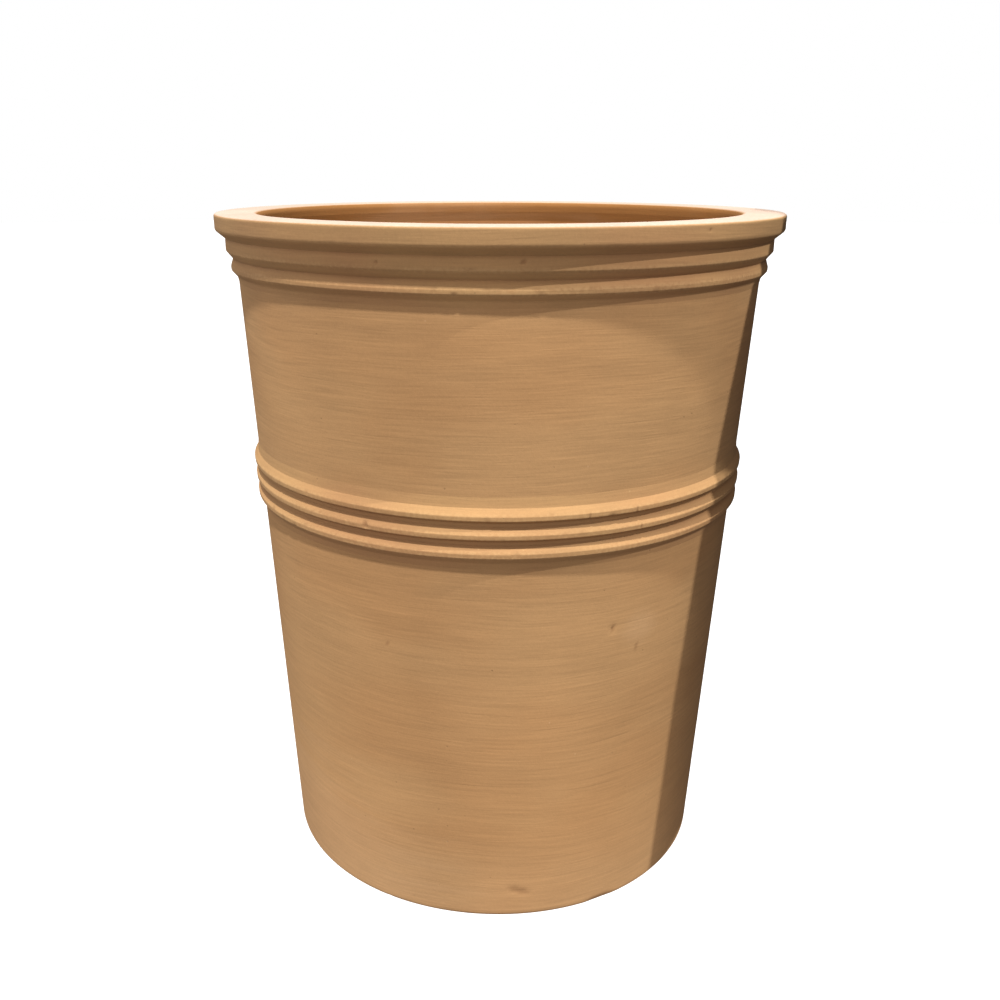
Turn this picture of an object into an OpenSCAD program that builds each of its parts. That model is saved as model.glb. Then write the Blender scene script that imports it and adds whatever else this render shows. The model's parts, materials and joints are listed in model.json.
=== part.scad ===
// Tall round terracotta pot, built up from separately made members of clay.
//
// A floor slab sits on a ledge inside the lower wall, with a coil pressed into the corner.
// The upper wall is keyed on to the lower wall, and a three-bead band covers that joint.
// A stepped collar and a thick rolled rim finish the top.
// The origin is at the centre of the footprint, with the ground at z = 0.

/* [Body] */
// Overall height
height = 700; // [520:10:860]
// Outside diameter of the rim, the widest part of the pot
rim_d = 584; // [480:2:720]
// Outside diameter of the foot, at the ground
base_d = 472; // [380:2:580]
// Thickness of the wall, measured level
wall = 24; // [20:1:32]
// Rounding of the outside bottom edge
foot_round = 5; // [2:0.5:8]

/* [Floor] */
// Thickness of the floor slab
floor_t = 34; // [24:1:44]
// Gap between the ground and the underside of the slab
foot_lift = 4; // [2:0.5:8]
// Width of the ledge that the slab sits on
ledge_w = 10; // [6:1:16]
// Diameter of the drain hole
drain_d = 40; // [20:1:60]
// Chamfer on both edges of the drain hole
drain_ease = 2; // [1:0.5:4]
// Radius of the hollow face of the coil in the inside corner
corner_r = 24; // [12:1:36]

/* [Waist band] */
// Height of the joint between the walls, behind the middle bead
waist_z = 432; // [340:1:460]
// Spacing of the beads
bead_pitch = 18; // [15:0.5:24]
// How far the beads stand out from the wall
bead_proud = 5.8; // [4:0.1:9]
// How far the bottoms of the grooves stand out from the wall
groove_proud = 1.2; // [0.6:0.1:2.4]
// Height of the upright face of a bead
bead_face = 4.2; // [2.5:0.1:5]
// Height of the sloping top of a bead
bead_slope = 7; // [4:0.1:8]
// Height of the sloping underside of a bead
bead_under = 3; // [1.5:0.1:3.6]
// Height of the thin apron that feathers the band out above its top bead
apron_h = 10; // [6:0.5:18]
// Height of the hollow that runs from the lowest bead back to the wall
band_cove = 12.5; // [8:0.5:18]
// How far the corner of the hollow under a lowest bead stands out from the wall
hollow_proud = 1.1; // [0.6:0.1:2]
// Distance of that corner below the lip of the bead
hollow_drop = 6.2; // [4:0.2:7]

/* [Collar] */
// Height of the upright face of the step under the rim
step_face = 12; // [8:0.5:20]
// How far the step stands out from the wall
step_proud = 9.6; // [7:0.1:14]
// Height of the sloping underside of the step
step_under = 8; // [4:0.5:12]
// Height from the lip of the step to the lip of the bead under it
step_pitch = 19.2; // [16:0.1:26]
// How far the recess under the step stands out from the wall
recess_proud = 3.4; // [2:0.1:5]
// How far the collar bead stands out from the wall
collar_bead_proud = 6.3; // [5:0.1:9]
// Height of the upright face of the collar bead
collar_bead_face = 3.3; // [1.5:0.1:5]
// Height of the hollow that runs from the collar bead back to the wall
collar_cove = 12; // [8:0.5:18]

/* [Rim] */
// Height of the rim
rim_h = 23.5; // [18:0.5:34]
// How far the rim stands out from the wall
rim_proud = 18.6; // [12:0.2:26]
// How far the rim stands in from the inside of the wall
rim_inset = 2; // [2:0.2:10]
// How far the rim's lower outside edge is cut back, measured level
rim_bevel = 9.6; // [4:0.2:11]
// Height of that cut
rim_bevel_h = 8; // [4:0.5:11]
// Rounding of the rim's upper outside edge
rim_top_round = 2.5; // [1:0.5:6]
// Rounding of the rim's upper inside edge
rim_mouth_round = 6; // [1:0.5:8]

/* [Joints] */
// Width of the tongue and groove in each wall joint
key_w = 14; // [8:1:18]
// Height of the tongue
key_h = 5; // [3:0.5:8]

/* [Hidden] */

wall_clay = [0.74, 0.55, 0.37];
moulding_clay = [0.80, 0.60, 0.40];
inside_clay = [0.64, 0.42, 0.25];

arc_steps = 6;      // chords in one rounded corner
round_fn = 180;     // facets of the preview, which the solids don't keep
lip_round = 1;      // rounding of the crisp lower edge of a bead
shoulder_round = 2; // rounding where a sloping top meets an upright face
groove_round = 0.9; // rounding inside a groove
bevel_round = 5;    // rounding where the rim's bevel meets its face
hollow_round = 6;   // rounding in the hollow under a lowest bead
tip_angle = 12;     // the corner coil stops this far short of a feather edge, in degrees

joint_z = height - rim_h;
floor_z = foot_lift + floor_t;
taper = (rim_d / 2 - rim_proud - base_d / 2) / joint_z;
step_lip_z = joint_z - step_face;
collar_lip_z = step_lip_z - step_pitch;
top_bead_lip_z = waist_z + bead_pitch - bead_face;

// Outside and inside radius of the plain wall at height z
function wall_r(z) = base_d / 2 + taper * z;
function inside_r(z) = wall_r(z) - wall;

// A point of an outline: a distance out from the wall, a height and a corner radius
function off_wall(proud, z, round = 0) = [wall_r(z) + proud, z, round];

function flat(p) = [p[0], p[1]];
function unit(v) = v / norm(v);

// The arc that rounds the corner b of the path a, b, c
function rounded(a, b, c, r) =
    let (
        u = unit(a - b),
        v = unit(c - b),
        half = acos(u * v) / 2,
        middle = b + unit(u + v) * r / sin(half),
        p = b + u * r / tan(half) - middle,
        q = b + v * r / tan(half) - middle,
        from = atan2(p[1], p[0]),
        turn = (atan2(q[1], q[0]) - from + 540) % 360 - 180
    )
    [for (i = [0:arc_steps]) let (t = from + turn * i / arc_steps) middle + r * [cos(t), sin(t)]];

// A closed outline from points [radius, height, corner radius]
function outline(path) =
    let (n = len(path))
    [for (i = [0:n - 1])
        let (a = flat(path[(i + n - 1) % n]), b = flat(path[i]), c = flat(path[(i + 1) % n]))
        each path[i][2] > 0 ? rounded(a, b, c, path[i][2]) : [b]];

// The tongue-and-groove line across the wall at height z, from the inside out
function key_line(z) =
    let (middle = wall_r(z) - wall / 2)
    [[middle - key_w / 2, z, 0], [middle - key_w / 4, z + key_h, 0],
     [middle + key_w / 4, z + key_h, 0], [middle + key_w / 2, z, 0]];

function backwards(list) = [for (i = [len(list) - 1:-1:0]) list[i]];

// A solid of revolution from an outline with rounded corners
module turned(path) {
    rotate_extrude($fn = round_fn) polygon(outline(path));
}

// Round slab with the drain hole, bevelled to fit the wall
module floor_slab() {
    hole = drain_d / 2;
    color(inside_clay) turned([
        [hole, foot_lift + drain_ease, 0],
        [hole + drain_ease, foot_lift, 0],
        [inside_r(foot_lift), foot_lift, 0],
        [inside_r(floor_z), floor_z, 0],
        [hole + drain_ease, floor_z, 0],
        [hole, floor_z - drain_ease, 0]
    ]);
}

// Coil pressed into the corner between slab and wall, with a hollow face tangent to both
module corner_coil() {
    lean = atan(taper);
    centre_z = floor_z + corner_r;
    centre = [inside_r(centre_z) - corner_r / cos(lean), centre_z];
    from = -90 + tip_angle;
    to = -lean - tip_angle;
    hollow = [for (i = [0:2 * arc_steps])
        let (t = from + (to - from) * i / (2 * arc_steps)) centre + corner_r * [cos(t), sin(t)]];
    tip_in = hollow[0];
    tip_up = hollow[2 * arc_steps];
    color(inside_clay) turned(concat(
        [for (p = hollow) [p[0], p[1], 0]],
        [[inside_r(tip_up[1]), tip_up[1], 0], [inside_r(floor_z), floor_z, 0], [tip_in[0], floor_z, 0]]
    ));
}

// Lower wall, with the foot ring and the slab's ledge
module lower_wall() {
    ledge_r = inside_r(foot_lift) - ledge_w;
    color(wall_clay) turned(concat(
        [[ledge_r, 0, 0], off_wall(0, 0, foot_round), off_wall(0, waist_z)],
        backwards(key_line(waist_z)),
        [[inside_r(waist_z), waist_z, 0], [inside_r(foot_lift), foot_lift, 0], [ledge_r, foot_lift, 0]]
    ));
}

// Upper wall, keyed into the lower wall below and into the rim above
module upper_wall() {
    color(wall_clay) turned(concat(
        [[inside_r(waist_z), waist_z, 0]],
        key_line(waist_z),
        [off_wall(0, waist_z), off_wall(0, joint_z)],
        backwards(key_line(joint_z)),
        [[inside_r(joint_z), joint_z, 0]]
    ));
}

// One bead from its sloping top down to its lip
function bead(lip_z) = [
    off_wall(groove_proud, lip_z + bead_face + bead_slope, groove_round),
    off_wall(bead_proud, lip_z + bead_face, shoulder_round),
    off_wall(bead_proud, lip_z, lip_round)
];

// The inner end of a bead's sloping underside, where the groove starts
function groove(lip_z) = [off_wall(groove_proud, lip_z - bead_under, groove_round)];

// The hollow that leads from the lip of a lowest bead back to the wall
function hollow(lip_z, cove) = [
    off_wall(hollow_proud, lip_z - hollow_drop, hollow_round),
    off_wall(0, lip_z - cove)
];

// Strip with three beads, wrapped round the joint between the walls
module waist_band() {
    middle_lip_z = top_bead_lip_z - bead_pitch;
    last_lip_z = middle_lip_z - bead_pitch;
    color(moulding_clay) turned(backwards(concat(
        [off_wall(0, top_bead_lip_z + bead_face + bead_slope + apron_h)],
        bead(top_bead_lip_z),
        groove(top_bead_lip_z),
        bead(middle_lip_z),
        groove(middle_lip_z),
        bead(last_lip_z),
        hollow(last_lip_z, band_cove)
    )));
}

// Moulding under the rim: a flat step over a bead
module collar() {
    color(moulding_clay) turned(backwards(concat(
        [
            off_wall(0, joint_z),
            [wall_r(step_lip_z) + step_proud, joint_z, 0],
            off_wall(step_proud, step_lip_z, shoulder_round),
            off_wall(recess_proud, step_lip_z - step_under, groove_round),
            off_wall(collar_bead_proud, collar_lip_z + collar_bead_face, shoulder_round),
            off_wall(collar_bead_proud, collar_lip_z, shoulder_round)
        ],
        hollow(collar_lip_z, collar_cove)
    )));
}

// Thick rolled lip on top of the upper wall
module rim() {
    mouth_r = inside_r(joint_z) - rim_inset;
    color(moulding_clay) turned(concat(
        [[inside_r(joint_z), joint_z, 0]],
        key_line(joint_z),
        [
            [rim_d / 2 - rim_bevel, joint_z, 0],
            [rim_d / 2, joint_z + rim_bevel_h, bevel_round],
            [rim_d / 2, height, rim_top_round],
            [mouth_r, height, rim_mouth_round],
            [mouth_r, (joint_z + height) / 2, rim_mouth_round]
        ]
    ));
}

floor_slab();
corner_coil();
lower_wall();
upper_wall();
waist_band();
collar();
rim();
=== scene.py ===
import json
import math

import bmesh
import bpy
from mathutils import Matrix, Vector


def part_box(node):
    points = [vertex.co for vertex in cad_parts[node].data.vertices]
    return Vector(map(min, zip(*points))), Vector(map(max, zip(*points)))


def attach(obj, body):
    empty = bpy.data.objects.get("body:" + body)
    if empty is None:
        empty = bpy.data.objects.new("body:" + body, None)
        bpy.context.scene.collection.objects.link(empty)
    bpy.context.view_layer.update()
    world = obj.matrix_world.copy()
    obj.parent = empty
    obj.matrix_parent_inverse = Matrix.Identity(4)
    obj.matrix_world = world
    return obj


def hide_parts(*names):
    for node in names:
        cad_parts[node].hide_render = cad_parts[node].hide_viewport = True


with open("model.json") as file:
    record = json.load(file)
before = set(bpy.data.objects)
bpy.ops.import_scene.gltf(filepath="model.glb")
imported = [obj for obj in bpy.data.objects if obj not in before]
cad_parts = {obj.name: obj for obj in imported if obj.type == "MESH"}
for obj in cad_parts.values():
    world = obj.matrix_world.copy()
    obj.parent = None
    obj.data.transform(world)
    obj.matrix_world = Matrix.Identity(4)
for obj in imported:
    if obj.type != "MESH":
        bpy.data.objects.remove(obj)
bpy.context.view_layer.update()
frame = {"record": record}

MM = 0.001


# ---------------------------------------------------------------- camera

CAMERA_PLACE = (-0.0325, -1.1347, 0.7470)
CAMERA_TILT = 72.07          # degrees up from straight down
CAMERA_LENS = 37.5           # millimetres, on a 36 mm sensor
CAMERA_SHIFT = 0.0329


def make_camera():
    data = bpy.data.cameras.new("camera")
    data.lens = CAMERA_LENS
    data.sensor_width = 36.0
    data.shift_x = CAMERA_SHIFT
    data.clip_start = 0.05
    data.clip_end = 60.0
    camera = bpy.data.objects.new("camera", data)
    camera.location = CAMERA_PLACE
    camera.rotation_euler = (math.radians(CAMERA_TILT), 0.0, 0.0)
    bpy.context.scene.collection.objects.link(camera)
    bpy.context.scene.camera = camera


make_camera()


# ---------------------------------------------------------------- nodes as Python expressions

class Wire:
    """The output of a node. Sums, products and comparisons of wires add Math nodes."""

    def __init__(self, bench, socket):
        self.bench = bench
        self.socket = socket

    def maths(self, operation, first, second):
        return self.bench.add("ShaderNodeMath", {"operation": operation}, {0: first, 1: second})

    def __add__(self, other):
        return self.maths("ADD", self, other)

    def __radd__(self, other):
        return self.maths("ADD", other, self)

    def __sub__(self, other):
        return self.maths("SUBTRACT", self, other)

    def __rsub__(self, other):
        return self.maths("SUBTRACT", other, self)

    def __mul__(self, other):
        return self.maths("MULTIPLY", self, other)

    def __truediv__(self, other):
        return self.maths("DIVIDE", self, other)

    def __gt__(self, other):
        return self.maths("GREATER_THAN", self, other)

    def __neg__(self):
        return self.maths("MULTIPLY", self, -1.0)

    def other(self, name):
        """Another output of the same node."""
        return Wire(self.bench, self.socket.node.outputs[name])


class Bench:
    """One node tree, and the ways of adding to it."""

    def __init__(self, tree):
        self.tree = tree

    def add(self, kind, settings=None, inputs=None, output=0):
        """Adds a node: its settings first, then the values or wires of its sockets."""
        node = self.tree.nodes.new(kind)
        for name, value in (settings or {}).items():
            setattr(node, name, value)
        for name, value in (inputs or {}).items():
            socket = node.inputs[name]
            if isinstance(value, Wire):
                self.tree.links.new(value.socket, socket)
            else:
                socket.default_value = value
        return Wire(self, node.outputs[output]) if len(node.outputs) else None

    def function(self, operation, value):
        """A Math node with one input, such as SINE."""
        return self.add("ShaderNodeMath", {"operation": operation}, {0: value})

    def noise(self, vector, scale=1.0, detail=2.0):
        """Smooth noise, about 0.5 on average."""
        return self.add(
            "ShaderNodeTexNoise",
            {"noise_dimensions": "3D"},
            {"Vector": vector, "Scale": scale, "Detail": detail, "Roughness": 0.5},
        )

    def fade(self, value, start, end, low=0.0, high=1.0):
        """Goes smoothly from low, where value is at start, to high, where it is at end."""
        flip = start > end
        return self.add(
            "ShaderNodeMapRange",
            {"interpolation_type": "SMOOTHSTEP"},
            {
                "Value": value,
                "From Min": end if flip else start,
                "From Max": start if flip else end,
                "To Min": high if flip else low,
                "To Max": low if flip else high,
            },
        )

    def cells(self, vector, scale):
        """Scattered cells: the colour of the nearest one, with its distance as another output."""
        inputs = {"Vector": vector, "Scale": scale}
        return self.add("ShaderNodeTexVoronoi", {"feature": "F1"}, inputs, "Color")

    def blend(self, share, first, second):
        """A colour that goes from first to second as share goes from 0 to 1."""
        return self.add("ShaderNodeMix", {"data_type": "RGBA"}, {0: share, 6: first, 7: second}, 2)

    def scaled(self, vector, amount):
        """A vector or colour times a number."""
        return self.add("ShaderNodeVectorMath", {"operation": "SCALE"}, {0: vector, "Scale": amount})

    def vector(self, x, y, z):
        return self.add("ShaderNodeCombineXYZ", None, {0: x, 1: y, 2: z})

    def split(self, vector):
        """The three parts of a vector, or the red, green and blue of a colour."""
        parts = self.add("ShaderNodeSeparateXYZ", None, {0: vector})
        return parts, parts.other("Y"), parts.other("Z")

    def between(self, operation, first, second):
        """A Vector Math node with two vectors, such as SUBTRACT."""
        return self.add("ShaderNodeVectorMath", {"operation": operation}, {0: first, 1: second})

    def length(self, vector):
        return self.add("ShaderNodeVectorMath", {"operation": "LENGTH"}, {0: vector}, "Value")

    def attribute(self, name):
        return self.add("ShaderNodeAttribute", {"attribute_name": name}, None, "Fac")


# ---------------------------------------------------------------- the pot's sizes, in millimetres

FOOT_R = 236.0
WALL = 24.0
FOOT_ROUND = 5.0
SLAB_UNDER_Z = 4.0
LEDGE_W = 10.0
DRAIN_R = 20.0
DRAIN_EASE = 2.0
DRAIN_LIP_ROUND = 0.6
COIL_R = 24.0
COIL_TIP = 12.0              # degrees that the coil stops short of a feather edge
BEADS = 3
BEAD_PITCH = 18.0
BEAD_PROUD = 5.8
GROOVE_PROUD = 1.2
BEAD_FACE = 4.2
BEAD_SLOPE = 7.0
BEAD_UNDER = 3.0
STEP_FACE = 12.0
STEP_PROUD = 9.6
STEP_UNDER = 8.0
STEP_PITCH = 19.2
RECESS_PROUD = 3.4
COLLAR_BEAD_PROUD = 6.3
COLLAR_BEAD_FACE = 3.3
RIM_PROUD = 18.6
RIM_INSET = 2.0
RIM_BEVEL = 9.6
RIM_BEVEL_H = 8.0
HOLLOW_PROUD = 1.1
HOLLOW_DROP = 6.2
KEY_W = 14.0
KEY_H = 5.0
LIP_ROUND = 1.0
SHOULDER_ROUND = 2.0
GROOVE_ROUND = 0.9
BEVEL_ROUND = 5.0
HOLLOW_ROUND = 6.0
RIM_TOP_ROUND = 2.5
RIM_MOUTH_ROUND = 6.0
ARC_STEPS = 6                # chords in a rounded corner
SMALL_ROUND = 2.0            # a rounding up to this radius takes fewer steps
SMALL_ARC_STEPS = 4

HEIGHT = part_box("rim")[1].z / MM
RIM_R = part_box("rim")[1].x / MM
JOINT_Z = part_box("rim")[0].z / MM
WAIST_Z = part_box("upper_wall")[0].z / MM
FLOOR_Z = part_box("floor_slab")[1].z / MM
BAND_LOW, BAND_HIGH = (corner.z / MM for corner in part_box("waist_band"))
COLLAR_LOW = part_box("collar")[0].z / MM

TAPER = (RIM_R - RIM_PROUD - FOOT_R) / JOINT_Z
STEP_LIP_Z = JOINT_Z - STEP_FACE
COLLAR_LIP_Z = STEP_LIP_Z - STEP_PITCH
TOP_BEAD_LIP_Z = WAIST_Z + BEAD_PITCH - BEAD_FACE
MOUTH_R = RIM_R - RIM_PROUD - WALL - RIM_INSET


def wall_r(z):
    return FOOT_R + TAPER * z


def inside_r(z):
    return wall_r(z) - WALL


# ---------------------------------------------------------------- outlines to turn

def off_wall(proud, z, rounding=0.0, worn=0.0):
    """A corner at a distance out from the wall. Worn is above 0 on a lip and below 0 in a groove."""
    return (wall_r(z) + proud, z, rounding, worn)


def plain(r, z, rounding=0.0, worn=0.0):
    """The same kind of corner, at a radius of its own."""
    return (r, z, rounding, worn)


def key_line(z):
    """The tongue-and-groove line across the wall, from the inside out."""
    middle = wall_r(z) - WALL / 2
    return [
        plain(middle - KEY_W / 2, z),
        plain(middle - KEY_W / 4, z + KEY_H),
        plain(middle + KEY_W / 4, z + KEY_H),
        plain(middle + KEY_W / 2, z),
    ]


def bead(lip_z, dust_and_shade=-1.0):
    """One bead of the band, from its sloping top down to its lip."""
    return [
        off_wall(GROOVE_PROUD, lip_z + BEAD_FACE + BEAD_SLOPE, GROOVE_ROUND, worn=dust_and_shade),
        off_wall(BEAD_PROUD, lip_z + BEAD_FACE, SHOULDER_ROUND, worn=0.7),
        off_wall(BEAD_PROUD, lip_z, LIP_ROUND, worn=1.0),
    ]


def groove(lip_z):
    """The inner end of the sloping underside of the bead above."""
    return off_wall(GROOVE_PROUD, lip_z - BEAD_UNDER, GROOVE_ROUND, worn=-1.0)


def hollow_under(lip_z, end_z):
    """The hollow that leads from a lowest bead back to the wall."""
    return [off_wall(HOLLOW_PROUD, lip_z - HOLLOW_DROP, HOLLOW_ROUND), off_wall(0.0, end_z)]


def floor_slab_outline():
    return [
        plain(DRAIN_R, SLAB_UNDER_Z + DRAIN_EASE),
        plain(DRAIN_R + DRAIN_EASE, SLAB_UNDER_Z),
        plain(inside_r(SLAB_UNDER_Z), SLAB_UNDER_Z),
        plain(inside_r(FLOOR_Z), FLOOR_Z),
        plain(DRAIN_R + DRAIN_EASE, FLOOR_Z, DRAIN_LIP_ROUND, worn=0.6),
        plain(DRAIN_R, FLOOR_Z - DRAIN_EASE, DRAIN_LIP_ROUND, worn=0.3),
    ]


def corner_coil_outline():
    lean = math.degrees(math.atan(TAPER))
    centre_z = FLOOR_Z + COIL_R
    centre_r = inside_r(centre_z) - COIL_R / math.cos(math.radians(lean))
    steps = 2 * ARC_STEPS
    start = COIL_TIP - 90.0
    end = -lean - COIL_TIP
    hollow = []
    for i in range(steps + 1):
        turn = math.radians(start + (end - start) * i / steps)
        hollow.append(plain(centre_r + COIL_R * math.cos(turn), centre_z + COIL_R * math.sin(turn)))
    tip_z = hollow[-1][1]
    return hollow + [
        plain(inside_r(tip_z), tip_z),
        plain(inside_r(FLOOR_Z), FLOOR_Z),
        plain(hollow[0][0], FLOOR_Z),
    ]


def lower_wall_outline():
    ledge_r = inside_r(SLAB_UNDER_Z) - LEDGE_W
    return (
        [plain(ledge_r, 0.0), off_wall(0.0, 0.0, FOOT_ROUND, worn=0.6), off_wall(0.0, WAIST_Z)]
        + key_line(WAIST_Z)[::-1]
        + [plain(inside_r(WAIST_Z), WAIST_Z), plain(inside_r(SLAB_UNDER_Z), SLAB_UNDER_Z)]
        + [plain(ledge_r, SLAB_UNDER_Z)]
    )


def upper_wall_outline():
    return (
        [plain(inside_r(WAIST_Z), WAIST_Z)]
        + key_line(WAIST_Z)
        + [off_wall(0.0, WAIST_Z), off_wall(0.0, JOINT_Z)]
        + key_line(JOINT_Z)[::-1]
        + [plain(inside_r(JOINT_Z), JOINT_Z)]
    )


def waist_band_outline():
    lips = [TOP_BEAD_LIP_Z - i * BEAD_PITCH for i in range(BEADS)]
    corners = [off_wall(0.0, BAND_HIGH)] + bead(lips[0], dust_and_shade=0.0)
    for above, lip_z in zip(lips, lips[1:]):
        corners += [groove(above)] + bead(lip_z)
    corners += hollow_under(lips[-1], BAND_LOW)
    return corners[::-1]


def collar_outline():
    corners = [
        off_wall(0.0, JOINT_Z),
        plain(wall_r(STEP_LIP_Z) + STEP_PROUD, JOINT_Z, worn=-1.0),
        off_wall(STEP_PROUD, STEP_LIP_Z, SHOULDER_ROUND, worn=0.8),
        off_wall(RECESS_PROUD, STEP_LIP_Z - STEP_UNDER, GROOVE_ROUND, worn=-1.0),
        off_wall(COLLAR_BEAD_PROUD, COLLAR_LIP_Z + COLLAR_BEAD_FACE, SHOULDER_ROUND, worn=0.8),
        off_wall(COLLAR_BEAD_PROUD, COLLAR_LIP_Z, SHOULDER_ROUND, worn=0.8),
    ]
    corners += hollow_under(COLLAR_LIP_Z, COLLAR_LOW)
    return corners[::-1]


def rim_outline():
    return (
        [plain(inside_r(JOINT_Z), JOINT_Z)]
        + key_line(JOINT_Z)
        + [
            plain(RIM_R - RIM_BEVEL, JOINT_Z),
            plain(RIM_R, JOINT_Z + RIM_BEVEL_H, BEVEL_ROUND, worn=0.3),
            plain(RIM_R, HEIGHT, RIM_TOP_ROUND, worn=0.15),
            plain(MOUTH_R, HEIGHT, RIM_MOUTH_ROUND, worn=0.2),
            plain(MOUTH_R, (JOINT_Z + HEIGHT) / 2, RIM_MOUTH_ROUND),
        ]
    )


def rounded(before, corner, after, radius):
    """The arc that takes the place of a corner."""
    corner = Vector(corner[:2])
    to_before = (Vector(before[:2]) - corner).normalized()
    to_after = (Vector(after[:2]) - corner).normalized()
    half = math.acos(max(-1.0, min(1.0, to_before.dot(to_after)))) / 2
    middle = corner + (to_before + to_after).normalized() * radius / math.sin(half)
    first = corner + to_before * radius / math.tan(half) - middle
    last = corner + to_after * radius / math.tan(half) - middle
    start = math.atan2(first.y, first.x)
    turn = (math.atan2(last.y, last.x) - start + 3 * math.pi) % (2 * math.pi) - math.pi
    steps = ARC_STEPS if radius > SMALL_ROUND else SMALL_ARC_STEPS
    arc = []
    for i in range(steps + 1):
        angle = start + turn * i / steps
        arc.append((middle.x + radius * math.cos(angle), middle.y + radius * math.sin(angle)))
    return arc


HIDDEN_ROW = 9.0             # millimetres between the rows of a face that nothing shows
JOIN_REACH = 0.6             # a face this near the wall's own surface is against another member
COVER_MARGIN = 4.0           # fine rows run this far in under the edge of the band or the collar
RIM_TOP_DEPTH = 8.0          # all the rows this near the pot's top are fine
INSIDE_DEPTH = 3.0           # a point this near the wall's inside face belongs to the inside
FLOOR_SLACK = 0.5            # and so does one this little below the floor's surface


def is_inside(r, z):
    return r < inside_r(z) + INSIDE_DEPTH and z > FLOOR_Z - FLOOR_SLACK


def row_height(name, a, b, rows):
    """How far apart the rows of one straight run are."""
    r = (a[0] + b[0]) / 2
    z = (a[1] + b[1]) / 2
    if is_inside(r, z):
        return rows[1]
    against_wall = abs(r - wall_r(z)) < JOIN_REACH
    under_band = BAND_LOW + COVER_MARGIN < z < BAND_HIGH - COVER_MARGIN
    under_collar = z > COLLAR_LOW + COVER_MARGIN
    if against_wall and (name in ("waist_band", "collar") or under_band or under_collar):
        return HIDDEN_ROW
    if r < wall_r(z) - JOIN_REACH and z < HEIGHT - RIM_TOP_DEPTH:
        return HIDDEN_ROW
    return rows[0]


def profile(name, corners, rows):
    """The closed profile of one member, as points (radius, height), with no run too long."""
    path = []
    for i, corner in enumerate(corners):
        before = corners[i - 1]
        after = corners[(i + 1) % len(corners)]
        if corner[2] > 0.0:
            path += rounded(before, corner, after, corner[2])
        else:
            path.append(corner[:2])
    points = []
    for i, a in enumerate(path):
        b = path[(i + 1) % len(path)]
        length = math.dist(a, b)
        count = max(1, math.ceil(length / row_height(name, a, b, rows)))
        for k in range(count):
            t = k / count
            points.append((a[0] + (b[0] - a[0]) * t, a[1] + (b[1] - a[1]) * t))
    return points


WEAR_REACH = 3.2             # millimetres from a lip over which it is rubbed pale
HOLLOW_REACH = 3.6           # millimetres from a groove's bottom over which dust and painted shade darken it
LAND_DEPTH = 1.0             # millimetres from the pot's top over which the land's painted highlight fades in


def keep(mesh, fact, values):
    """Stores one number for each point of a mesh."""
    mesh.attributes.new(fact, "FLOAT", "POINT").data.foreach_set("value", values)


def placed(name, mesh):
    """A new object in the scene, at the origin."""
    made = bpy.data.objects.new(name, mesh)
    bpy.context.scene.collection.objects.link(made)
    return made


def profile_object(name, corners, rows):
    """A loop of edges, with the facts about each point that the turning and the clay use."""
    points = profile(name, corners, rows)
    mesh = bpy.data.meshes.new(name + " profile")
    vertices = [(r * MM, 0.0, z * MM) for r, z in points]
    edges = [(i, (i + 1) % len(points)) for i in range(len(points))]
    mesh.from_pydata(vertices, edges, [])
    facts = {"profile_r": [], "profile_z": [], "wear": [], "hollow": [], "inner": [], "land": []}
    for r, z in points:
        wear = 0.0
        hollow = 0.0
        for corner in corners:
            away = math.dist((r, z), corner[:2])
            if corner[3] > 0.0:
                near = max(0.0, 1.0 - away / WEAR_REACH)
                wear = max(wear, corner[3] * near * (2.0 - near))
            elif corner[3] < 0.0:
                near = max(0.0, 1.0 - away / HOLLOW_REACH)
                hollow = max(hollow, -corner[3] * near)
        facts["profile_r"].append(r * MM)
        facts["profile_z"].append(z * MM)
        facts["wear"].append(wear)
        facts["hollow"].append(hollow)
        facts["inner"].append(1.0 if is_inside(r, z) and z < HEIGHT - LAND_DEPTH else 0.0)
        facts["land"].append(max(0.0, min(1.0, (z - HEIGHT + LAND_DEPTH) / LAND_DEPTH)))
    for fact, values in facts.items():
        keep(mesh, fact, values)
    return placed(name + " profile", mesh)


# ---------------------------------------------------------------- knocks in the surface

# Azimuth in degrees round from the front toward the right, height, half length, half height,
# depth, all in millimetres, and lean in degrees.
KNOCKS = [
    (24.9, 326.0, 2.8, 4.8, 1.2, 12.0),
    (31.4, 299.0, 1.4, 8.0, 0.22, -8.0),
    (5.0, 33.0, 15.0, 4.6, 0.6, -18.0),
    (-28.4, 431.5, 3.4, 5.0, 1.3, 38.0),
    (-9.0, 645.5, 3.4, 1.7, 0.45, 0.0),
    (2.6, 672.0, 3.6, 2.6, 0.8, 24.0),
    (-22.4, 670.0, 2.2, 2.2, 0.7, 0.0),
    (27.5, 447.0, 1.1, 5.0, 0.7, 0.0),
    (29.0, 429.5, 1.0, 4.6, 0.6, 4.0),
    (16.9, 446.5, 1.0, 4.6, 0.55, -4.0),
    (41.0, 650.0, 1.6, 1.6, 0.6, 0.0),
    (36.0, 694.0, 2.6, 1.6, 0.45, 10.0),
    (-25.4, 309.2, 2.0, 2.6, 0.4, 0.0),
    (27.5, 2.5, 20.0, 3.6, 0.8, 0.0),
    (118.0, 410.5, 7.0, 4.0, 1.2, 15.0),
    (171.0, 448.0, 4.0, 4.6, 1.1, -28.0),
    (-131.0, 648.0, 7.5, 3.0, 1.0, 0.0),
    (-104.0, 698.0, 6.0, 3.4, 1.0, 10.0),
    (205.0, 214.0, 3.0, 3.6, 0.6, 20.0),
    (140.0, 560.0, 9.0, 2.0, 0.4, 8.0),
    (-82.0, 4.0, 9.0, 4.0, 1.1, 0.0),
    (152.0, 3.0, 14.0, 4.5, 1.5, 0.0),
    (92.0, 698.5, 5.0, 3.0, 0.9, 0.0),
]
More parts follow.
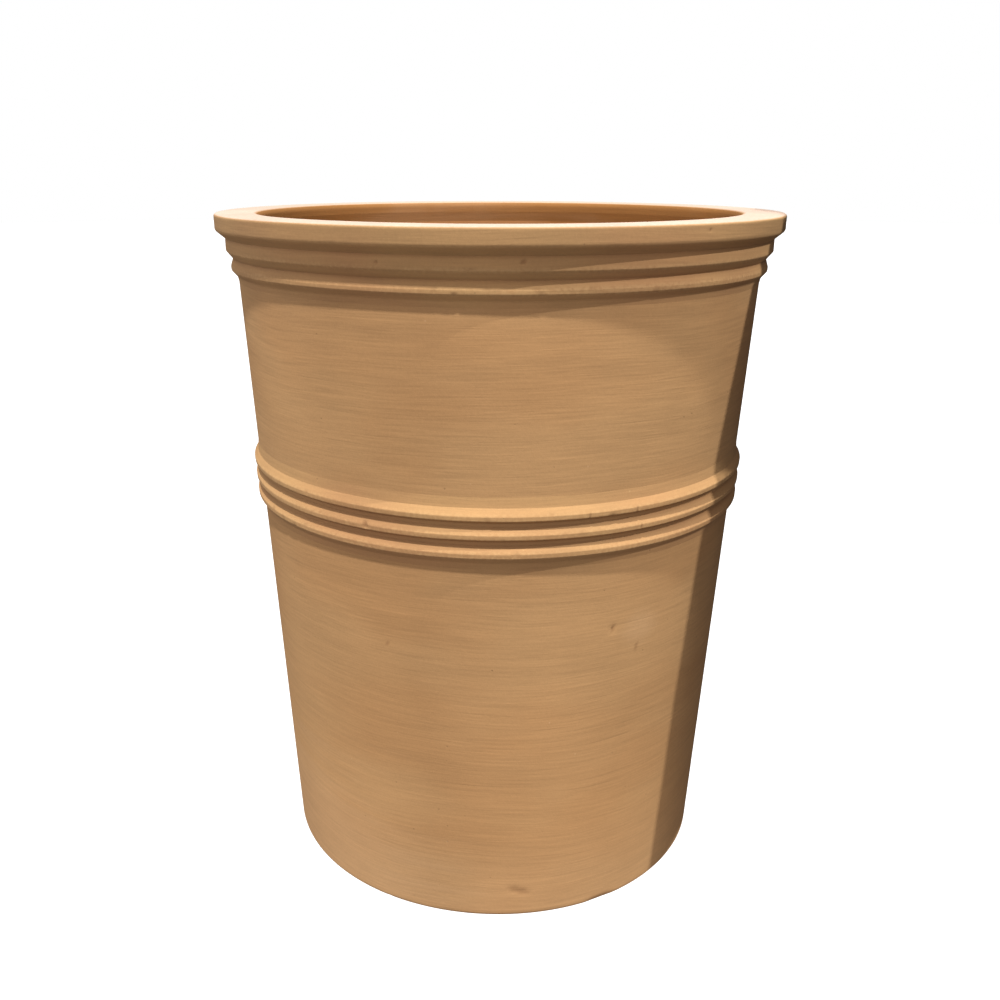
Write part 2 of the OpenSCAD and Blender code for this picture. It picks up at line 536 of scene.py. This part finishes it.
# How far the surface stands out from the wall: from this height, to this height, by this much.
PROUD_AT = [
    (BAND_LOW, BAND_HIGH, BEAD_PROUD - 1.0),
    (COLLAR_LIP_Z - 4.0, COLLAR_LIP_Z + 6.0, COLLAR_BEAD_PROUD),
    (STEP_LIP_Z, JOINT_Z, STEP_PROUD),
    (JOINT_Z, HEIGHT + 1.0, RIM_PROUD),
]


def knock_object():
    """One point for each knock, with its size."""
    mesh = bpy.data.meshes.new("knocks")
    places = []
    for azimuth, z, *_ in KNOCKS:
        proud = 0.0
        for low, high, amount in PROUD_AT:
            if low <= z < high:
                proud = amount
        turn = math.radians(azimuth)
        r = wall_r(z) + proud
        places.append((r * MM * math.sin(turn), -r * MM * math.cos(turn), z * MM))
    mesh.from_pydata(places, [], [])
    for fact, column in (("long", 2), ("tall", 3), ("depth", 4)):
        keep(mesh, fact, [knock[column] * MM for knock in KNOCKS])
    keep(mesh, "lean", [math.radians(knock[5]) for knock in KNOCKS])
    return placed("knocks", mesh)


# ---------------------------------------------------------------- the wheel: a tree that turns a profile

SEED_SHIFT = 7.31            # how far one step of the seed moves the noise
CHIP_CELLS = 70.0            # places for a chip, per metre
CHIP_RARITY = 0.80           # the share of those places with no chip
CHIP_RADIUS = 0.40           # the chip's radius, as a share of a cell
KNOCK_DEPTH = 0.011          # metres in and out that a knock reaches
CRISP_ANGLE = math.radians(35.0)


def turning_tree():
    """Turns a profile round the pot's axis and gives it a potter's unevenness.

    Every shift depends only on the place of a point, so members that meet stay together, and
    it goes inward and downward only, so the pot never outgrows its sizes.
    """
    tree = bpy.data.node_groups.new("turned clay", "GeometryNodeTree")
    sockets = {}
    for name, kind in (
        ("Profile", "NodeSocketGeometry"),
        ("Segments", "NodeSocketInt"),
        ("Wobble", "NodeSocketFloat"),
        ("Sag", "NodeSocketFloat"),
        ("Tool marks", "NodeSocketFloat"),
        ("Finger marks", "NodeSocketFloat"),
        ("Chips", "NodeSocketFloat"),
        ("Seed", "NodeSocketInt"),
        ("Knocks", "NodeSocketObject"),
        ("Clay", "NodeSocketMaterial"),
    ):
        sockets[name] = tree.interface.new_socket(name=name, in_out="INPUT", socket_type=kind).identifier
    tree.interface.new_socket(name="Turned", in_out="OUTPUT", socket_type="NodeSocketGeometry")
    bench = Bench(tree)
    given = bench.add("NodeGroupInput")

    def named(name):
        return bench.add("GeometryNodeInputNamedAttribute", {"data_type": "FLOAT"}, {"Name": name})

    # The path that the profile is carried along, with the turn at each of its points.
    path = bench.add("GeometryNodeCurvePrimitiveCircle", None, {"Resolution": given.other("Segments")})
    index = bench.add("GeometryNodeInputIndex")
    turn = index / given.other("Segments") * (2.0 * math.pi)
    path = bench.add(
        "GeometryNodeStoreNamedAttribute",
        {"data_type": "FLOAT", "domain": "POINT"},
        {"Geometry": path, "Name": "turn", "Value": turn},
    )
    loop = bench.add("GeometryNodeMeshToCurve", None, {0: given.other("Profile")})
    skin = bench.add("GeometryNodeCurveToMesh", None, {"Curve": path, "Profile Curve": loop})

    radius = named("profile_r")
    height = named("profile_z")
    turn = named("turn")
    cosine = bench.function("COSINE", turn)
    sine = bench.function("SINE", turn)
    place = bench.vector(radius * cosine, radius * sine, height)
    skin = bench.add("GeometryNodeSetPosition", None, {"Geometry": skin, "Position": place})

    # Slow unevenness of the whole pot.
    here = bench.add("GeometryNodeInputPosition")
    x, y, z = bench.split(here)
    drift = given.other("Seed") * SEED_SHIFT
    slow = bench.vector(x * 3.2 + drift, y * 3.2, z * 2.4)
    out_of_round = bench.noise(slow, 1.0, 1.0)
    sag = bench.noise(bench.vector(x * 4.0, y * 4.0 + drift, z * 1.5), 1.0, 1.0)

    # Marks of the turning tool outside and of fingers inside: long rings that rise a little.
    lean = bench.noise(bench.vector(x * 2.0, y * 2.0, z * 4.0 + drift), 1.0, 0.0)
    ring_z = z + lean * 0.012
    tool = bench.noise(bench.vector(x * 3.0, y * 3.0, ring_z * 95.0), 1.0, 1.5)
    finger = bench.noise(bench.vector(x * 2.0 + 9.0, y * 2.0, ring_z * 42.0), 1.0, 0.0)
    inner = named("inner")

    # Small chips along the lips.
    cell = bench.cells(here, CHIP_CELLS)
    chosen = bench.split(cell)[0] > CHIP_RARITY
    chip = bench.fade(cell.other("Distance"), CHIP_RADIUS, 0.0) * chosen
    chip = chip * bench.fade(named("wear"), 0.15, 0.7)

    inward = (
        given.other("Wobble") * out_of_round
        + given.other("Tool marks") * tool * (1.0 - inner)
        + given.other("Finger marks") * finger * inner
        + given.other("Chips") * chip
    )
    above_foot = bench.fade(z, 0.004, 0.060)
    down = given.other("Sag") * sag * above_foot

    # The knocks: the nearest one presses an oval hollow into the surface.
    knocks_given = bench.add("GeometryNodeObjectInfo", None, {"Object": given.other("Knocks")}, "Geometry")
    nearest = bench.add("GeometryNodeSampleNearest", {"domain": "POINT"}, {"Geometry": knocks_given})

    def of_knock(value, kind="FLOAT"):
        return bench.add(
            "GeometryNodeSampleIndex",
            {"data_type": kind, "domain": "POINT"},
            {"Geometry": knocks_given, "Value": value, "Index": nearest},
        )

    centre = of_knock(bench.add("GeometryNodeInputPosition"), "FLOAT_VECTOR")
    offset_x, offset_y, up = bench.split(bench.between("SUBTRACT", here, centre))
    centre_x, centre_y, _ = bench.split(centre)
    centre_r = bench.function("SQRT", centre_x * centre_x + centre_y * centre_y)
    out_x = centre_x / centre_r
    out_y = centre_y / centre_r
    along = offset_y * out_x - offset_x * out_y
    outward = (offset_x * out_x + offset_y * out_y) / KNOCK_DEPTH
    knock_lean = of_knock(named("lean"))
    lean_cos = bench.function("COSINE", knock_lean)
    lean_sin = bench.function("SINE", knock_lean)
    across_long = (along * lean_cos + up * lean_sin) / of_knock(named("long"))
    across_tall = (up * lean_cos - along * lean_sin) / of_knock(named("tall"))
    away = across_long * across_long + across_tall * across_tall + outward * outward
    scar = bench.fade(away, 1.0, 0.0)
    inward = inward + of_knock(named("depth")) * scar

    shift = bench.vector(-(inward * cosine), -(inward * sine), -down)
    # Dents and chips are stored as "scar"; the clay darkens them with painted shade.
    skin = bench.add(
        "GeometryNodeStoreNamedAttribute",
        {"data_type": "FLOAT", "domain": "POINT"},
        {"Geometry": skin, "Name": "scar", "Value": scar + chip * 0.6},
    )
    skin = bench.add("GeometryNodeSetPosition", None, {"Geometry": skin, "Offset": shift})

    for spare in ("turn", "profile_r", "profile_z"):
        skin = bench.add("GeometryNodeRemoveAttribute", None, {"Geometry": skin, "Name": spare})

    crisp = bench.add("GeometryNodeInputMeshEdgeAngle") > CRISP_ANGLE
    skin = bench.add(
        "GeometryNodeSetShadeSmooth",
        {"domain": "FACE"},
        {"Geometry": skin, "Shade Smooth": True},
    )
    skin = bench.add(
        "GeometryNodeSetShadeSmooth",
        {"domain": "EDGE"},
        {"Geometry": skin, "Selection": crisp, "Shade Smooth": False},
    )
    skin = bench.add("GeometryNodeRealizeInstances", None, {"Geometry": skin})
    skin = bench.add("GeometryNodeSetMaterial", None, {"Geometry": skin, "Material": given.other("Clay")})
    bench.add("NodeGroupOutput", None, {"Turned": skin})
    return tree, sockets


# ---------------------------------------------------------------- clay

def colour(red, green, blue):
    """A colour given as it is seen, from 0 to 1, for a shader's socket."""
    linear = []
    for value in (red, green, blue):
        linear.append(value / 12.92 if value <= 0.04045 else ((value + 0.055) / 1.055) ** 2.4)
    return (*linear, 1.0)


# Rubbed patches of the wall: azimuth in degrees, height, half length and half height in millimetres.
RUBS = [
    (32.0, 322.0, 34.0, 28.0),
    (158.0, 250.0, 60.0, 34.0),
    (-128.0, 560.0, 52.0, 22.0),
    (-54.0, 40.0, 210.0, 150.0),
]


# Turned patterns: how often they repeat in a metre, on the level and upright.
HAIR = (30.0, 640.0)
RINGS = (15.0, 300.0)
BANDS = (3.0, 46.0)
SCRATCHES = (11.0, 380.0)
RING_DRIFT = 0.024           # metres that the rings rise and fall on their way round
RING_SHAKE = 0.0016

PIT_CELLS = 115.0            # places for a pit or a pale fleck, per metre
PIT_RARITY = 0.955
FLECK_RARITY = 0.975

# How much each pattern lightens the clay, and how much it stands up in the bump.
TONE = {
    "hair": 0.18,
    "rings": 0.24,
    "bands": 0.18,
    "clouds": 0.28,
    "grain": 0.12,
    "speckle": 0.12,
    "dark lines": -0.04,
    "pale lines": 0.03,
    "pits": -0.25,
    "rim face": -0.20,
}
RELIEF = {
    "rings": 0.9,
    "hair": 0.6,
    "grain": 0.35,
    "speckle": 0.5,
    "pits": -0.9,
    "dark lines": -0.2,
}
TURNED = ("hair", "rings", "bands", "dark lines", "pale lines")
FOOT_FLOOR_LIGHT = 1.18             # painted light from the floor: the wall is this much lighter at the foot than at the waist

# How far the clay goes toward another colour where it is rubbed, dusty or broken, or where shade or a
# highlight is painted on.
RUBBED_PALE = 0.34
FOOT_PALE = 0.20
LIP_PALE = 0.40
FLECK_PALE = 0.55
GROOVE_DUST_AND_SHADE = 0.45
SCAR_SHADE = 0.45
BLOOM_PALE = 0.10
LAND_HIGHLIGHT = 0.68

DUST_AND_SHADE_COLOUR = colour(0.52, 0.36, 0.22)
SCAR_SHADE_COLOUR = colour(0.50, 0.34, 0.21)
BLOOM_COLOUR = colour(0.80, 0.70, 0.60)
LAND_HIGHLIGHT_COLOUR = colour(0.88, 0.80, 0.745)


def rubbed_patches(bench, here, raggedness):
    """How rubbed the wall is: the sum of the patches, each fading out toward its edge."""
    rubbed = 0.0
    for azimuth, z, long, tall in RUBS:
        turn = math.radians(azimuth)
        r = wall_r(z) * MM
        centre = (r * math.sin(turn), -r * math.cos(turn), z * MM)
        offset = bench.between("SUBTRACT", here, centre)
        offset = bench.between("DIVIDE", offset, (long * MM, long * MM, tall * MM))
        rubbed = rubbed + bench.fade(bench.length(offset) + raggedness, 1.0, 0.25)
    return rubbed


def clay_material(name, body, deep, pale, inside, fine=1.0):
    """Unglazed clay, finely turned: rings, clouds, grain, pits and rubbed lips, with dust and painted
    shade in the grooves, painted shade in dents and chips, a painted highlight on the rim's top and
    painted floor light toward the foot.

    Fine says how strong the turned patterns are: 1 on the walls, less on a moulding.
    """
    material = bpy.data.materials.new(name)
    material.use_nodes = True
    tree = material.node_tree
    tree.nodes.clear()
    bench = Bench(tree)
    here = bench.add("ShaderNodeTexCoord", None, None, "Object")
    x, y, z = bench.split(here)

    wear = bench.attribute("wear")
    hollow = bench.attribute("hollow")
    inner = bench.attribute("inner")
    land = bench.attribute("land")
    scar = bench.attribute("scar")

    # Turning rings at three pitches. They drift up and down a little on their way round.
    drift = bench.noise(here, 3.4, 1.0)
    shake = bench.noise(bench.vector(x * 20.0, y * 20.0, z * 26.0), 1.0, 1.0)
    ring_z = z + (drift - 0.5) * RING_DRIFT + (shake - 0.5) * RING_SHAKE

    def turned(pattern, detail, aside=0.0):
        level, upright = pattern
        place = bench.vector(x * level + aside, y * level, ring_z * upright)
        return bench.noise(place, 1.0, detail)

    hair = turned(HAIR, 1.0)
    rings = turned(RINGS, 2.0)
    bands = turned(BANDS, 2.0)
    scratch = turned(SCRATCHES, 0.0, aside=3.0)

    # Clouds from the kiln, and the body's own grain.
    clouds = bench.noise(here, 7.0, 3.0)
    warmth = bench.noise(bench.vector(x * 5.0 + 4.0, y * 5.0, z * 9.0), 1.0, 2.0)
    grain = bench.noise(here, 1100.0, 1.0)
    speckle = bench.noise(here, 330.0, 2.0)

    cell = bench.cells(here, PIT_CELLS)
    pit_lot, fleck_lot, _ = bench.split(cell)
    pits = bench.fade(cell.other("Distance"), 0.15, 0.06) * (pit_lot > PIT_RARITY)
    flecks = bench.fade(cell.other("Distance"), 0.14, 0.05) * (fleck_lot > FLECK_RARITY)

    # The rim's upright face is a darker, dustier brown than the mouldings under it.
    rim_face = bench.fade(z, 0.6835, 0.6870) * bench.fade(z, 0.6992, 0.6972) * (1.0 - inner)

    patterns = {
        "hair": hair - 0.5,
        "rings": rings - 0.5,
        "bands": bands - 0.5,
        "clouds": clouds - 0.5,
        "grain": grain - 0.5,
        "speckle": speckle - 0.5,
        "dark lines": bench.fade(scratch, 0.68, 0.80),
        "pale lines": bench.fade(scratch, 0.30, 0.18),
        "pits": pits,
        "rim face": rim_face,
    }
    # Painted light from the floor: the wall grows lighter toward the foot.
    tone = bench.fade(z, 0.52, 0.0, 1.0, FOOT_FLOOR_LIGHT)
    for pattern, share in TONE.items():
        tone = tone + patterns[pattern] * (share * fine if pattern in TURNED else share)
    shade = bench.blend(bench.fade(warmth, 0.36, 0.66), body, deep)
    shade = bench.blend(inner, shade, inside)

    # Rubbed patches, the foot, the lips and the flecks are pale. Grooves are darkened with dust and
    # painted shade, and dents and chips with painted shade.
    rubbed = rubbed_patches(bench, here, patterns["bands"] * 1.2)
    lip = wear * bench.fade(speckle + patterns["clouds"] * 0.8, 0.34, 0.62)
    foot = bench.fade(z, 0.130, 0.0)
    shade = bench.blend(rubbed * RUBBED_PALE, shade, pale)
    shade = bench.blend(foot * FOOT_PALE, shade, pale)
    shade = bench.blend(lip * LIP_PALE, shade, pale)
    shade = bench.blend(flecks * FLECK_PALE, shade, pale)
    # Dust and painted shade darken the grooves.
    shade = bench.blend(hollow * GROOVE_DUST_AND_SHADE, shade, DUST_AND_SHADE_COLOUR)
    # Painted shade darkens the dents and the chips.
    shade = bench.blend(scar * SCAR_SHADE, shade, SCAR_SHADE_COLOUR)

    # Lime bloom: a little all over the inside. On the land of the rim, a strong painted highlight of pale
    # colour.
    bloom = inner * bench.fade(clouds + patterns["bands"] * 0.6, 0.48, 0.70) * BLOOM_PALE
    shade = bench.blend(bloom, shade, BLOOM_COLOUR)
    shade = bench.blend(land * (LAND_HIGHLIGHT + patterns["speckle"] * 0.5), shade, LAND_HIGHLIGHT_COLOUR)
    shade = bench.scaled(shade, tone)

    height = 0.0
    for pattern, share in RELIEF.items():
        height = height + patterns[pattern] * share
    bump = bench.add("ShaderNodeBump", None, {"Strength": 0.24, "Distance": 0.0005, "Height": height})
    rough = 0.84 + patterns["clouds"] * 0.16 - lip * 0.10 - rubbed * 0.06

    surface = bench.add(
        "ShaderNodeBsdfPrincipled",
        None,
        {"Base Color": shade, "Roughness": rough, "Normal": bump, "Specular IOR Level": 0.35},
    )
    bench.add("ShaderNodeOutputMaterial", None, {"Surface": surface})
    return material


CLAYS = {
    "wall_clay": clay_material(
        "turned wall clay",
        body=colour(0.75, 0.582, 0.39),
        deep=colour(0.732, 0.556, 0.365),
        pale=colour(0.83, 0.67, 0.49),
        inside=colour(0.625, 0.415, 0.21),
    ),
    "moulding_clay": clay_material(
        "rubbed moulding clay",
        body=colour(0.742, 0.578, 0.382),
        deep=colour(0.72, 0.54, 0.36),
        pale=colour(0.815, 0.665, 0.455),
        inside=colour(0.595, 0.40, 0.195),
        fine=0.75,
    ),
    "floor_clay": clay_material(
        "rough floor clay",
        body=colour(0.64, 0.43, 0.26),
        deep=colour(0.60, 0.385, 0.225),
        pale=colour(0.74, 0.57, 0.41),
        inside=colour(0.62, 0.41, 0.245),
    ),
}


# ---------------------------------------------------------------- the members of the pot

# Outline, segments round, and the row heights outside and inside, in millimetres.
MEMBERS = {
    "floor_slab": (floor_slab_outline, 360, 7.0, 5.0),
    "corner_coil": (corner_coil_outline, 480, 5.0, 3.0),
    "lower_wall": (lower_wall_outline, 480, 3.6, 9.0),
    "upper_wall": (upper_wall_outline, 600, 2.6, 6.0),
    "waist_band": (waist_band_outline, 1020, 1.6, 4.0),
    "collar": (collar_outline, 1080, 1.2, 4.0),
    "rim": (rim_outline, 960, 1.5, 1.5),
}

tree, sockets = turning_tree()
knocks = knock_object()
SLOT_OF = {entry["node"]: entry["material_slot"] for entry in frame["record"]["subparts"]}


# What the wheel does to the clay, in metres.
UNEVENNESS = {
    "Wobble": 0.9 * MM,
    "Sag": 0.8 * MM,
    "Tool marks": 0.12 * MM,
    "Finger marks": 1.1 * MM,
    "Chips": 0.55 * MM,
}
SEED = 3


def turned_member(name):
    """One member: its profile turned on the wheel, then made a plain mesh."""
    outline, segments, outer_row, inner_row = MEMBERS[name]
    source = profile_object(name, outline(), (outer_row, inner_row))
    wheel = source.modifiers.new("wheel", "NODES")
    wheel.node_group = tree
    clay = CLAYS[SLOT_OF[name]]
    given = {**UNEVENNESS, "Segments": segments, "Seed": SEED, "Knocks": knocks, "Clay": clay}
    for socket, value in given.items():
        wheel[sockets[socket]] = value
    bpy.context.view_layer.update()
    graph = bpy.context.evaluated_depsgraph_get()
    mesh = bpy.data.meshes.new_from_object(source.evaluated_get(graph), depsgraph=graph)
    mesh.name = name + "_clay"
    source.modifiers.remove(wheel)
    bpy.data.objects.remove(source)

    shell = bmesh.new()
    shell.from_mesh(mesh)
    if shell.calc_volume(signed=True) < 0.0:
        bmesh.ops.reverse_faces(shell, faces=shell.faces)
    shell.to_mesh(mesh)
    shell.free()

    piece = placed(name + "_clay", mesh)
    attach(piece, "root")
    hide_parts(name)
    return piece


pot = [turned_member(name) for name in MEMBERS]
bpy.data.objects.remove(knocks)


# ---------------------------------------------------------------- floor, light and flag

def aimed(azimuth, elevation, distance):
    """A place seen from the pot's middle, at an azimuth round from the front toward the right."""
    a = math.radians(azimuth)
    e = math.radians(elevation)
    direction = Vector((math.sin(a) * math.cos(e), -math.cos(a) * math.cos(e), math.sin(e)))
    return MIDDLE + direction * distance


def collection_of(name, objects):
    """A collection for light linking. It isn't in the scene itself."""
    made = bpy.data.collections.new(name)
    for each in objects:
        made.objects.link(each)
    return made


MIDDLE = Vector((0.0, 0.0, 0.35))
WHITE = (1.0, 1.0, 1.0)
FILL_TINT = (1.0, 0.95, 1.0)

# Azimuth and elevation in degrees, distance and width in metres, strength and tint.
LAMPS = {
    "key lamp": (-20.0, 66.2, 6.0, 0.24, 1.08, WHITE),
    "side lamp": (66.0, 47.5, 6.0, 0.07, 0.62, WHITE),
    "left fill": (-98.0, 14.0, 2.8, 2.4, 0.35, WHITE),
    "front fill": (-8.0, 14.0, 3.0, 1.6, 0.31, FILL_TINT),
}
WASH_STRENGTH = 1.5
WASH_SPREAD = 100.0          # degrees

WORLD_LIGHT = (0.145, 0.130, 0.130, 1.0)
WORLD_SEEN = (1.0, 1.0, 1.0, 1.0)
FLOOR_RADIUS = 14.0
FLOOR_SEEN = (0.92, 0.915, 0.91)
FLOOR_THROWN = (0.10, 0.09, 0.085, 1.0)      # near the foot
FLOOR_THROWN_FAR = (0.025, 0.025, 0.025, 1.0)


def lamp(name, lights, shades):
    """A square studio lamp. Strength is what a white surface facing it shows."""
    azimuth, elevation, distance, size, strength, tint = LAMPS[name]
    data = bpy.data.lights.new(name, "AREA")
    data.shape = "SQUARE"
    data.size = size
    data.energy = strength * math.pi * math.pi * distance * distance
    data.color = tint
    made = placed(name, data)
    made.location = aimed(azimuth, elevation, distance)
    made.rotation_euler = (MIDDLE - made.location).to_track_quat("-Z", "Y").to_euler()
    made.light_linking.receiver_collection = lights
    made.light_linking.blocker_collection = shades


def floor_wash(the_floor):
    """A wide soft light from straight above, for the floor alone."""
    data = bpy.data.lights.new("floor wash", "SUN")
    data.energy = WASH_STRENGTH * math.pi
    data.angle = math.radians(WASH_SPREAD)
    made = placed("floor wash", data)
    made.light_linking.receiver_collection = the_floor
    made.light_linking.blocker_collection = the_floor


def make_floor():
    """A pale floor. It is bright to look at, and throws only a little light up near the foot."""
    bm = bmesh.new()
    bmesh.ops.create_circle(bm, cap_ends=True, segments=96, radius=FLOOR_RADIUS)
    mesh = bpy.data.meshes.new("floor")
    bm.to_mesh(mesh)
    bm.free()
    floor = placed("floor", mesh)
    material = bpy.data.materials.new("pale floor")
    material.use_nodes = True
    material.node_tree.nodes.clear()
    bench = Bench(material.node_tree)
    here = bench.add("ShaderNodeTexCoord", None, None, "Object")
    grain = bench.noise(here, 60.0, 2.0)
    seen = bench.scaled(FLOOR_SEEN, 1.0 + (grain - 0.5) * 0.02)
    away = bench.fade(bench.length(here), 0.30, 1.10)
    thrown = bench.blend(away, FLOOR_THROWN, FLOOR_THROWN_FAR)
    is_seen = bench.add("ShaderNodeLightPath", None, None, "Is Camera Ray")
    paint = bench.blend(is_seen, thrown, seen)
    surface = bench.add("ShaderNodeBsdfPrincipled", None,
                        {"Base Color": paint, "Roughness": 0.9, "Specular IOR Level": 0.1})
    bench.add("ShaderNodeOutputMaterial", None, {"Surface": surface})
    mesh.materials.append(material)
    return floor


def make_world():
    """A white backdrop that gives the pot only a dim light from all round."""
    world = bpy.data.worlds.new("studio")
    bpy.context.scene.world = world
    world.use_nodes = True
    world.node_tree.nodes.clear()
    bench = Bench(world.node_tree)
    is_seen = bench.add("ShaderNodeLightPath", None, None, "Is Camera Ray")
    tint = bench.blend(is_seen, WORLD_LIGHT, WORLD_SEEN)
    sky = bench.add("ShaderNodeBackground", None, {"Color": tint})
    bench.add("ShaderNodeOutputWorld", None, {"Surface": sky})


# Where the flag's shade ends on the wall: height in millimetres and azimuth in degrees.
SHADE_EDGE = [
    (-10.0, 45.5),
    (100.0, 46.8),
    (220.0, 47.8),
    (300.0, 49.2),
    (380.0, 50.6),
    (470.0, 53.4),
    (540.0, 56.6),
    (600.0, 60.0),
    (676.0, 65.0),
    (688.0, 80.0),
    (706.0, 92.0),
]
FLAG_REACH = 0.60            # metres from the wall to the flag, toward the lamp
FLAG_WIDTH = 0.45            # metres


def make_flag(lamp_place):
    """A card that keeps the side lamp off the pot's right edge."""
    near = []
    for z, azimuth in SHADE_EDGE:
        turn = math.radians(azimuth)
        r = wall_r(z) * MM
        spot = Vector((r * math.sin(turn), -r * math.cos(turn), z * MM))
        near.append(spot + (lamp_place - spot).normalized() * FLAG_REACH)
    sideways = Vector((0.0, 0.0, 1.0)).cross((lamp_place - MIDDLE).normalized()).normalized()
    far = [spot + sideways * FLAG_WIDTH for spot in near]
    count = len(near)
    faces = [(i, i + 1, count + i + 1, count + i) for i in range(count - 1)]
    mesh = bpy.data.meshes.new("flag")
    mesh.from_pydata([tuple(spot) for spot in near + far], [], faces)
    flag = placed("flag", mesh)
    flag.visible_camera = False
    flag.visible_diffuse = False
    flag.visible_glossy = False
    flag.visible_transmission = False
    return flag


floor = make_floor()
make_world()

the_pot = collection_of("the pot", pot)
the_floor = collection_of("the floor", [floor])

flag = make_flag(aimed(*LAMPS["side lamp"][:3]))
pot_and_flag = collection_of("pot and flag", pot + [flag])

for lamp_name in LAMPS:
    lamp(lamp_name, the_pot, pot_and_flag if lamp_name == "side lamp" else the_pot)
floor_wash(the_floor)

bpy.context.scene.view_settings.view_transform = "Standard"
